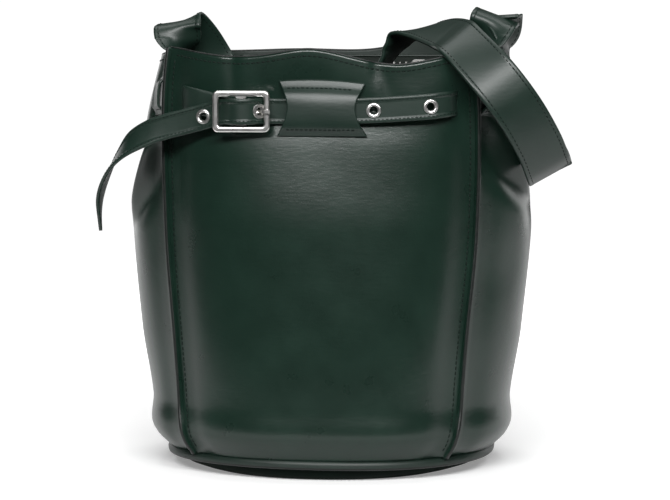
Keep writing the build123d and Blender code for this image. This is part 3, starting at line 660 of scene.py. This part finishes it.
# ---- belt ---------------------------------------------------------------
# Middle of the belt from its right anchor to the hinge of the tail.
BELT_ROWS = (
    (85.4, -65.6, 236.2), (84.8, -70.5, 236.0), (82.0, -76.4, 235.6), (76.5, -80.4, 234.9),
    (70.8, -82.8, 234.2), (54.0, -86.8, 233.0), (36.3, -89.2, 232.0), (18.0, -90.2, 231.4),
    (1.0, -90.4, 231.2), (-12.0, -89.6, 231.1), (-23.0, -88.1, 231.1), (-29.2, -88.0, 231.2),
    (-32.2, -89.3, 231.2), (-34.9, -91.6, 231.2), (-40.0, -95.7, 231.1), (-45.6, -97.2, 231.0),
    (-51.0, -95.8, 230.9), (-56.2, -91.8, 230.7), (-59.2, -89.4, 230.3), (-62.5, -88.3, 229.6),
    (-66.0, -87.1, 228.7), (-70.0, -86.0, 227.6), (-75.6, -84.7, 226.0))
# Middle of the free tail, then the direction across it.
TAIL_ROWS = (
    (-84.0, -83.4, 223.8, 0.02, 0.03, 1.0), (-94.0, -81.8, 221.2, 0.05, 0.08, 1.0),
    (-106.0, -79.5, 217.2, 0.05, 0.20, 1.0), (-119.0, -75.5, 210.0, 0.15, 0.45, 1.0),
    (-129.5, -69.5, 199.5, 0.25, 0.90, 0.80), (-137.0, -62.5, 187.5, 0.25, 1.30, 0.50),
    (-141.5, -57.0, 176.0, 0.10, 1.60, 0.30), (-143.0, -53.5, 165.0, -0.20, 1.80, 0.20),
    (-142.8, -51.5, 153.0, -0.30, 1.80, 0.15))
rows = [(*r, 0.0, 0.0, 1.0) for r in BELT_ROWS] + list(TAIL_ROWS)
belt = strap("belt_skin", rows, BELT_WIDTH, BELT_THICK, green_strap, border=3.0, ridge=0.3, count=420,
             taper=BELT_TIP)
BELT_RUN, _ = resample(BELT_ROWS, 900)


def belt_at(x):
    """Point of the belt's middle at x on the front of the bag, and the direction out of it."""
    turned_in = BELT_RUN[:, 1] > -70
    i = int(np.argmin(np.abs(BELT_RUN[:, 0] - x) + turned_in * 100))
    along = BELT_RUN[i + 2] - BELT_RUN[i - 2]
    along[2] = 0
    along /= np.linalg.norm(along)
    return BELT_RUN[i], np.array((-along[1], along[0], 0.0))


cutters = []
for x in EYELETS:
    p, out = belt_at(x)
    bpy.ops.mesh.primitive_cylinder_add(vertices=32, radius=EYELET_HOLE * MM, depth=9 * MM,
                                        location=tuple(p * MM))
    cutter = bpy.context.object
    cutter.rotation_mode = "QUATERNION"
    cutter.rotation_quaternion = Vector(out).to_track_quat("Z", "Y")
    cutters.append(cutter)
bpy.context.view_layer.update()
for cutter in cutters:
    mod = belt.modifiers.new("hole", "BOOLEAN")
    mod.operation = "DIFFERENCE"
    mod.solver = "EXACT"
    mod.object = cutter
bpy.context.view_layer.objects.active = belt
for mod in list(belt.modifiers):
    bpy.ops.object.modifier_apply(modifier=mod.name)
for cutter in cutters:
    bpy.data.objects.remove(cutter)
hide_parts("belt_strap", "belt_tail")
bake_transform(belt)
p, across, up, length = strap_frames(rows, 500)
use = np.linspace(0, length, len(p)) < length - BELT_TIP
for edge in (-1, 1):
    row = p + across * edge * 5.9 + up * 1.08
    stitches = stitch_row(f"belt_stitches_{'low' if edge < 0 else 'high'}", row[use], up[use], 2.6,
                          thread, body=None, size=(0.95, 0.26))
    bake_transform(stitches)

# Rounded rim of each eyelet, on the face of the belt.
turn = np.linspace(0, 2 * math.pi, 40, endpoint=False)[:, None]
spin = np.linspace(0, 2 * math.pi, 12, endpoint=False)[None, :]
radius = EYELET_RIM + EYELET_ROLL * np.cos(spin) + 0 * turn
for k, x in enumerate(EYELETS):
    p, out = belt_at(x)
    beside = np.cross(UP, out)
    # The eyelet inside the buckle is flatter, clear of the frame.
    height = 1.2 + (0.5 if k == BUCKLE_EYELET else 0.8) * np.sin(spin) + 0 * turn
    rim = (p + (radius * np.cos(turn))[..., None] * beside + (radius * np.sin(turn))[..., None] * UP
           + height[..., None] * out)
    ring = make(f"eyelet_rim_{k}", rim.reshape(-1, 3), ring_faces(*radius.shape), silver)
    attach(ring, "bag")

# Short strap that holds the buckle, and the two folds it makes round the buckle's bar.
SHORT_ROWS = ((-85.0, -66.0, 238.8), (-84.6, -70.9, 238.6), (-81.0, -76.6, 238.0), (-75.0, -80.4, 236.8),
              (-68.0, -82.8, 235.2), (-61.5, -85.0, 233.4), (-56.0, -87.6, 231.9), (-50.5, -90.4, 231.0),
              (-47.6, -91.4, 231.0))
short = strap("buckle_strap_skin", [(*r, 0, 0, 1) for r in SHORT_ROWS], SHORT_WIDTH, SHORT_THICK,
              green_strap, count=90)
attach(short, "bag")
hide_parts("buckle_strap")
for label, low, high in (("low", -7.8, -2.2), ("high", 2.2, 7.8)):
    outline = ((FOLD_OUTER, low), (FOLD_OUTER, high), (FOLD_INNER, high), (FOLD_INNER, low))
    verts = [(BUCKLE[0] + r * math.cos(a), BUCKLE[1] + r * math.sin(a), BUCKLE[2] + z)
             for a in np.linspace(0, 2 * math.pi, 40, endpoint=False) for r, z in outline]
    fold = make("buckle_strap_fold_" + label, verts, ring_faces(40, len(outline)), green_strap)
    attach(fold, "bag")

# ---- centre loop patch --------------------------------------------------
# Side view of the patch from top to foot: height, then depth.
PATCH_ROWS = np.array(((PATCH_TOP, -88.2), (245.5, -89.8), (241.8, -92.3), (237.0, -93.6), (231.0, -93.9),
                       (225.0, -93.6), (221.0, -92.6), (218.4, -90.8), (PATCH_FOOT, -89.2)))
curve, _ = resample(np.column_stack((PATCH_ROWS, np.zeros(len(PATCH_ROWS)))), 60)
zz, yy = curve[:, 0:1], curve[:, 1:2]
# Half width: narrow where the belt passes, wider toward the top and the foot.
waist = 21.2 + 5.9 * np.clip((zz - 233) / 16.4, 0, 1)**1.7 + 6.8 * np.clip((233 - zz) / 17.4, 0, 1)**1.7
t = np.linspace(-1, 1, 50)[None, :]
grid = np.stack((PATCH_X + waist * t,
                 yy + 1.1 * np.abs(t)**2.2 + 0 * zz,
                 zz + 1.6 * (zz > 240) * (0.6 - t**2) * (zz - 240) / 10 - 0.05 * t * (zz - 215) / 2), -1)
patch = slab("patch_loop_skin", grid[:, ::-1], PATCH_THICK, green_strap, outward=1)
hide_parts("patch_loop")
for label, k, tilt in (("top", 8, 0.25), ("foot", 51, -0.2)):
    row = grid[k, 3:-3] + np.array((0, -0.2, 0))
    stitch_row("patch_stitches_" + label, row, np.tile((0, -1.0, tilt), (len(row), 1)), 2.9, thread,
               size=(1.05, 0.3))


# ---- keepers on the gussets ---------------------------------------------
# Side view of a keeper: height, then how far it stands off the gusset.
KEEPER_ROWS = ((226.2, 0.9), (227.6, 1.2), (229.5, 2.6), (231.5, 4.2), (238.0, 4.6), (244.5, 4.2),
               (246.5, 2.6), (248.4, 1.2), (249.8, 0.9))


def keeper(side, label):
    """Leather loop sewn to a gusset, with its two rows of stitches."""
    curve, _ = resample([(z, lift, 0.0) for z, lift in KEEPER_ROWS], 50)
    ys = np.linspace(-KEEPER_HALF, KEEPER_HALF, 16)
    zz = curve[:, 0][:, None] + 0 * ys[None, :]
    yy = KEEPER_Y + ys[None, :] + 0 * zz
    base = panel_point(label, yy / wall_y(seam_x(zz), zz), zz)
    n = normals_of(base)
    n = n * np.sign(n[..., 0:1] * side)
    grid = base + n * curve[:, 1][:, None, None]
    outward = 1 if (normals_of(grid)[..., 0] * side).mean() > 0 else -1
    obj = slab(label + "_keeper_skin", grid, KEEPER_THICK, green_strap, outward=outward)
    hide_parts(label + "_keeper")
    for k in (6, 43):
        row = grid[k] + n[k] * 0.1
        stitch_row(f"{label}_keeper_stitches_{k}", row[1:-1], n[k][1:-1], 2.4, thread, size=(0.85, 0.26))


keeper(-1, "left")
keeper(1, "right")

# ---- shoulder strap -----------------------------------------------------
def end_rows(side):
    """Rows of the end sewn inside a gusset, from the anchor up to the rim."""
    rows = [(side * (float(wall_x(0, z)) - STRAP_END_INSET), 0.0, z, 0.0, 1.0, 0.0)
            for z in (238.0, 245.0, 252.0, 259.0)]
    return rows + [(side * 102.0, 0.0, 265.5, -side * 0.10, 0.99, 0.0)]


# Rows of the band: centre of the band, then the direction across it.
LEFT_ROWS = end_rows(-1) + [
    (-101.2, -0.2, 269.5, 0.55, 0.83, 0.0), (-100.8, -0.4, 275.0, 0.90, 0.42, 0.08),
    (-101.4, 0.4, 282.5, 1.0, 0.13, 0.22), (-99.5, 8.5, 285.0, 1.0, 0.10, 0.19),
    (-91.1, 16.5, 274.0, 0.88, 0.16, 0.17), (-82.5, 22.5, 258.8, 0.90, 0.16, 0.30),
    (-73.5, 24.0, 243.0, 0.80, -0.30, 0.30), (-59.0, 22.0, 231.0, 0.45, -0.85, 0.20),
    (-38.0, 16.0, 224.0, 0.12, -1.0, 0.05), (-12.0, 10.0, 222.5, 0.0, -1.0, 0.0),
    (12.0, 6.0, 230.0, 0.0, -1.0, 0.0), (26.0, 4.0, 246.0, 0.0, -1.0, 0.05),
    (35.5, 2.0, 260.5, -0.02, -1.0, 0.20), (42.0, -0.5, 270.0, -0.05, -1.0, 0.36),
    (50.0, -6.5, 277.5, -0.16, -0.95, 0.26), (63.2, -22.0, 281.6, -0.39, -0.80, -0.22),
    (79.2, -47.8, 279.2, -0.58, -0.64, -0.55),
    (89.3, -66.0, 273.4, -0.66, -0.55, -0.60), (106.2, -79.0, 256.4, -0.70, -0.35, -0.65),
    (119.0, -80.0, 240.8, -0.74, -0.29, -0.63), (129.2, -73.0, 225.2, -0.75, -0.23, -0.60),
    (137.6, -62.0, 208.6, -0.77, -0.19, -0.52), (141.8, -50.0, 196.5, -0.83, -0.12, -0.52),
    (143.2, -36.0, 190.8, -0.88, 0.0, -0.54)]
BACK_ROWS = [
    (143.2, -36.0, 190.8, -0.88, 0.0, -0.54), (139.0, -25.0, 201.0, -0.86, -0.30, -0.48),
    (130.0, -13.0, 219.0, -0.72, -0.60, -0.36), (122.0, -4.0, 238.0, -0.40, -0.92, -0.20),
    (116.8, 2.0, 253.0, -0.05, -1.0, -0.05), (113.2, 5.0, 262.0, 0.0, -1.0, 0.0),
    (110.2, 8.5, 273.0, -0.20, -0.97, 0.03), (109.5, 12.5, 283.5, -0.85, -0.45, 0.20),
    (107.0, 8.0, 289.5, -1.0, 0.0, 0.33)]
RIGHT_ROWS = [
    (107.0, 8.0, 289.5, -1.0, 0.0, 0.33), (105.0, 0.0, 286.0, -0.95, 0.13, 0.34),
    (103.8, -0.8, 278.5, -0.80, 0.58, 0.12), (102.6, -0.4, 271.0, -0.42, 0.90, 0.0)
    ] + list(reversed(end_rows(1)))
for label, rows, nodes, count in (
        ("shoulder_strap_front", LEFT_ROWS, ("shoulder_strap", "strap_loop"), 420),
        ("shoulder_strap_back", BACK_ROWS, (), 160),
        ("shoulder_strap_end", RIGHT_ROWS, ("strap_right_end",), 90)):
    obj = strap(label, rows, STRAP_W, STRAP_T, green_strap, border=3.2, ridge=0.12, count=count)
    p, across, up, _ = strap_frames(rows, count)
    stitches = []
    for edge in (-1, 1):
        for face in (-1, 1):
            row = p + across * edge * (STRAP_W / 2 - 2.9) + up * face * (STRAP_T / 2 - 0.02)
            stitches.append(stitch_row(f"{label}_stitches_{edge + 1}{face + 1}", row, up * face, 3.2,
                                       thread, body=None, size=(1.15, 0.3)))
    for piece in [obj] + stitches:
        if label == "shoulder_strap_front":
            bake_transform(piece)
        elif label == "shoulder_strap_back":
            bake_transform(piece)
        else:
            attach(piece, "bag")
    if nodes:
        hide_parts(*nodes)

# ---- inner patches and pocket -------------------------------------------
# Patches inside the wall: node, its panel, where it runs along the panel, and its heights.
for node, side, along, heights in (
        ("strap_backing_left", "left", np.linspace(-19, 19, 20), (234, 258)),
        ("strap_backing_right", "right", np.linspace(-19, 19, 20), (234, 258)),
        ("belt_anchor_left", "front", np.linspace(-93, -72, 16), (224, 249)),
        ("belt_anchor_right", "front", np.linspace(72, 93, 16), (224, 249))):
    zz = np.linspace(*heights, 14)[:, None] + 0 * along[None, :]
    half = seam_x(zz) if side == "front" else wall_y(seam_x(zz), zz)
    grid = panel_point(side, along[None, :] / half, zz, BACKING_INSET)
    obj = slab(node + "_skin", grid, BACKING_THICK, inner_leather, outward=-1 if side == "left" else 1)
    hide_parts(node)

for node in ("pocket_front", "pocket_back"):
    lo, hi = (np.array(v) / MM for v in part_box(node))
    depth = lo[1] + 0.4 if node == "pocket_front" else hi[1] - 0.4
    xs, zs = np.linspace(lo[0], hi[0], 60), np.linspace(lo[2], hi[2], 50)
    wave = np.sin(xs[None, :] / 17) * np.sin(zs[:, None] / 23) * 0.8 * step(0, 40, hi[2] - zs)[:, None]
    grid = np.stack((xs[None, :] + 0 * wave, depth + wave * (1 if node == "pocket_front" else 0.3),
                     zs[:, None] + 0 * wave), -1)
    obj = slab(node + "_cloth", grid, CLOTH_THICK, lining_cloth)
    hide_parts(node)

# The two tapes of the zip, each a woven strip above or below the teeth.
for label, low, high in (("low", 251.0, 255.9), ("high", 258.1, 262.2)):
    xs, zs = np.linspace(-ZIP_HALF, ZIP_HALF, 120), np.linspace(low, high, 9)
    sway = 0.1 * np.sin(xs[None, :] / 9) + 0 * zs[:, None]
    grid = np.stack((xs[None, :] + 0 * sway, ZIP_Y - 0.35 + sway, zs[:, None] + 0 * sway), -1)
    tape = slab("zip_tape_" + label, grid, CLOTH_THICK, tape_cloth)
    if label == "low":
        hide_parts("zip_tapes")

# Leather ledge from the zip back to the wall.
xs, share = np.linspace(-LEDGE_HALF, LEDGE_HALF, 60), np.linspace(0, 1, 10)[:, None]
wall = wall_y(xs, 263.0 + 0 * xs, 3.4)
ledge_y = (ZIP_Y - 0.5) * (1 - share) + wall[None, :] * share
sag = 0.5 * np.sin(math.pi * share)
grid = np.stack((xs[None, :] + 0 * ledge_y, ledge_y, LEDGE_TOP - sag + 0 * ledge_y), -1)
ledge = slab("pocket_ledge_skin", grid, LEDGE_THICK, inner_leather)
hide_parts("pocket_ledge")

# ---- floor, light, camera -----------------------------------------------
def floor_material():
    """Pale matt floor that grows lighter away from the bag, as a lit studio sweep does."""
    m = bpy.data.materials.new("floor")
    m.use_nodes = True
    tree = m.node_tree
    shader = tree.nodes["Principled BSDF"]
    shader.inputs["Base Color"].default_value = (0.82, 0.82, 0.82, 1)
    shader.inputs["Roughness"].default_value = 0.9
    shader.inputs["Specular IOR Level"].default_value = 0.1
    shader.inputs["Emission Color"].default_value = (1, 1, 1, 1)
    coords = tree.nodes.new("ShaderNodeTexCoord")
    length = tree.nodes.new("ShaderNodeVectorMath")
    length.operation = "LENGTH"
    tree.links.new(coords.outputs["Object"], length.inputs[0])
    span = tree.nodes.new("ShaderNodeMapRange")
    for socket, value in (("From Min", 0.13), ("From Max", 0.75), ("To Min", 0.26), ("To Max", 0.95)):
        span.inputs[socket].default_value = value
    tree.links.new(length.outputs["Value"], span.inputs["Value"])
    # Toward the bag the floor sends back less light than it shows to the eye.
    ray = tree.nodes.new("ShaderNodeLightPath")
    share = tree.nodes.new("ShaderNodeMapRange")
    for socket, value in (("From Min", 0.0), ("From Max", 1.0), ("To Min", 0.40), ("To Max", 1.0)):
        share.inputs[socket].default_value = value
    tree.links.new(ray.outputs["Is Camera Ray"], share.inputs["Value"])
    glow = tree.nodes.new("ShaderNodeMath")
    glow.operation = "MULTIPLY"
    tree.links.new(span.outputs["Result"], glow.inputs[0])
    tree.links.new(share.outputs["Result"], glow.inputs[1])
    tree.links.new(glow.outputs["Value"], shader.inputs["Emission Strength"])
    return m


# Metres from here on, as the stage is not part of the bag.
FLOOR_FRONT, FLOOR_BACK, FLOOR_HALF = -0.27, 2.6, 2.4
SKY_SEEN, SKY_FILL = 1.05, 0.03
floor = make("floor", np.array(((-FLOOR_HALF, FLOOR_FRONT, 0), (FLOOR_HALF, FLOOR_FRONT, 0),
                                (FLOOR_HALF, FLOOR_BACK, 0), (-FLOOR_HALF, FLOOR_BACK, 0))) / MM,
             [(0, 1, 2, 3)], floor_material())
world = bpy.data.worlds.new("studio")
bpy.context.scene.world = world
world.use_nodes = True
nodes, links = world.node_tree.nodes, world.node_tree.links
nodes.clear()
out = nodes.new("ShaderNodeOutputWorld")
mix = nodes.new("ShaderNodeMixShader")
path = nodes.new("ShaderNodeLightPath")
seen = nodes.new("ShaderNodeBackground")
seen.inputs["Color"].default_value = (1, 1, 1, 1)
seen.inputs["Strength"].default_value = SKY_SEEN
fill = nodes.new("ShaderNodeBackground")
fill.inputs["Color"].default_value = (1, 1, 1, 1)
fill.inputs["Strength"].default_value = SKY_FILL
links.new(path.outputs["Is Camera Ray"], mix.inputs["Fac"])
links.new(fill.outputs["Background"], mix.inputs[1])
links.new(seen.outputs["Background"], mix.inputs[2])
links.new(mix.outputs["Shader"], out.inputs["Surface"])


def area(name, location, target, size, power):
    """Rectangular light that faces its target."""
    data = bpy.data.lights.new(name, "AREA")
    data.shape = "RECTANGLE"
    data.size, data.size_y = size
    data.energy = power
    lamp = collection_link(bpy.data.objects.new(name, data))
    lamp.location = location
    direction = Vector(target) - Vector(location)
    lamp.rotation_euler = direction.to_track_quat("-Z", "Y").to_euler()


area("front_softbox", (0.12, -1.25, 0.92), (0, -0.05, 0.19), (1.50, 0.28), 33)
area("top_softbox", (0.0, 0.20, 1.45), (0, 0.02, 0.0), (1.2, 0.9), 9)
area("left_softbox", (-0.95, 1.20, 0.45), (0, 0, 0.15), (0.7, 1.0), 3.2)
area("right_softbox", (1.00, 1.15, 0.50), (0, 0, 0.15), (0.6, 1.0), 3.6)

DISTANCE, EYE, AZIMUTH, PITCH = 1.700, 0.290, math.radians(6.5), math.radians(5.13)
# The bag stands a little off the middle of the picture.
AIM_OFFSET = 0.00134
LENS, SENSOR = 140.24, 36.0
camera_data = bpy.data.cameras.new("camera")
camera_data.lens = LENS
camera_data.sensor_width = SENSOR
camera_data.dof.use_dof = False
camera = collection_link(bpy.data.objects.new("camera", camera_data))
camera.location = (DISTANCE * math.sin(AZIMUTH), -DISTANCE * math.cos(AZIMUTH), EYE)
camera.rotation_euler = (math.pi / 2 - PITCH, 0, AZIMUTH - AIM_OFFSET)
bpy.context.scene.camera = camera
bpy.context.scene.view_settings.view_transform = "Standard"
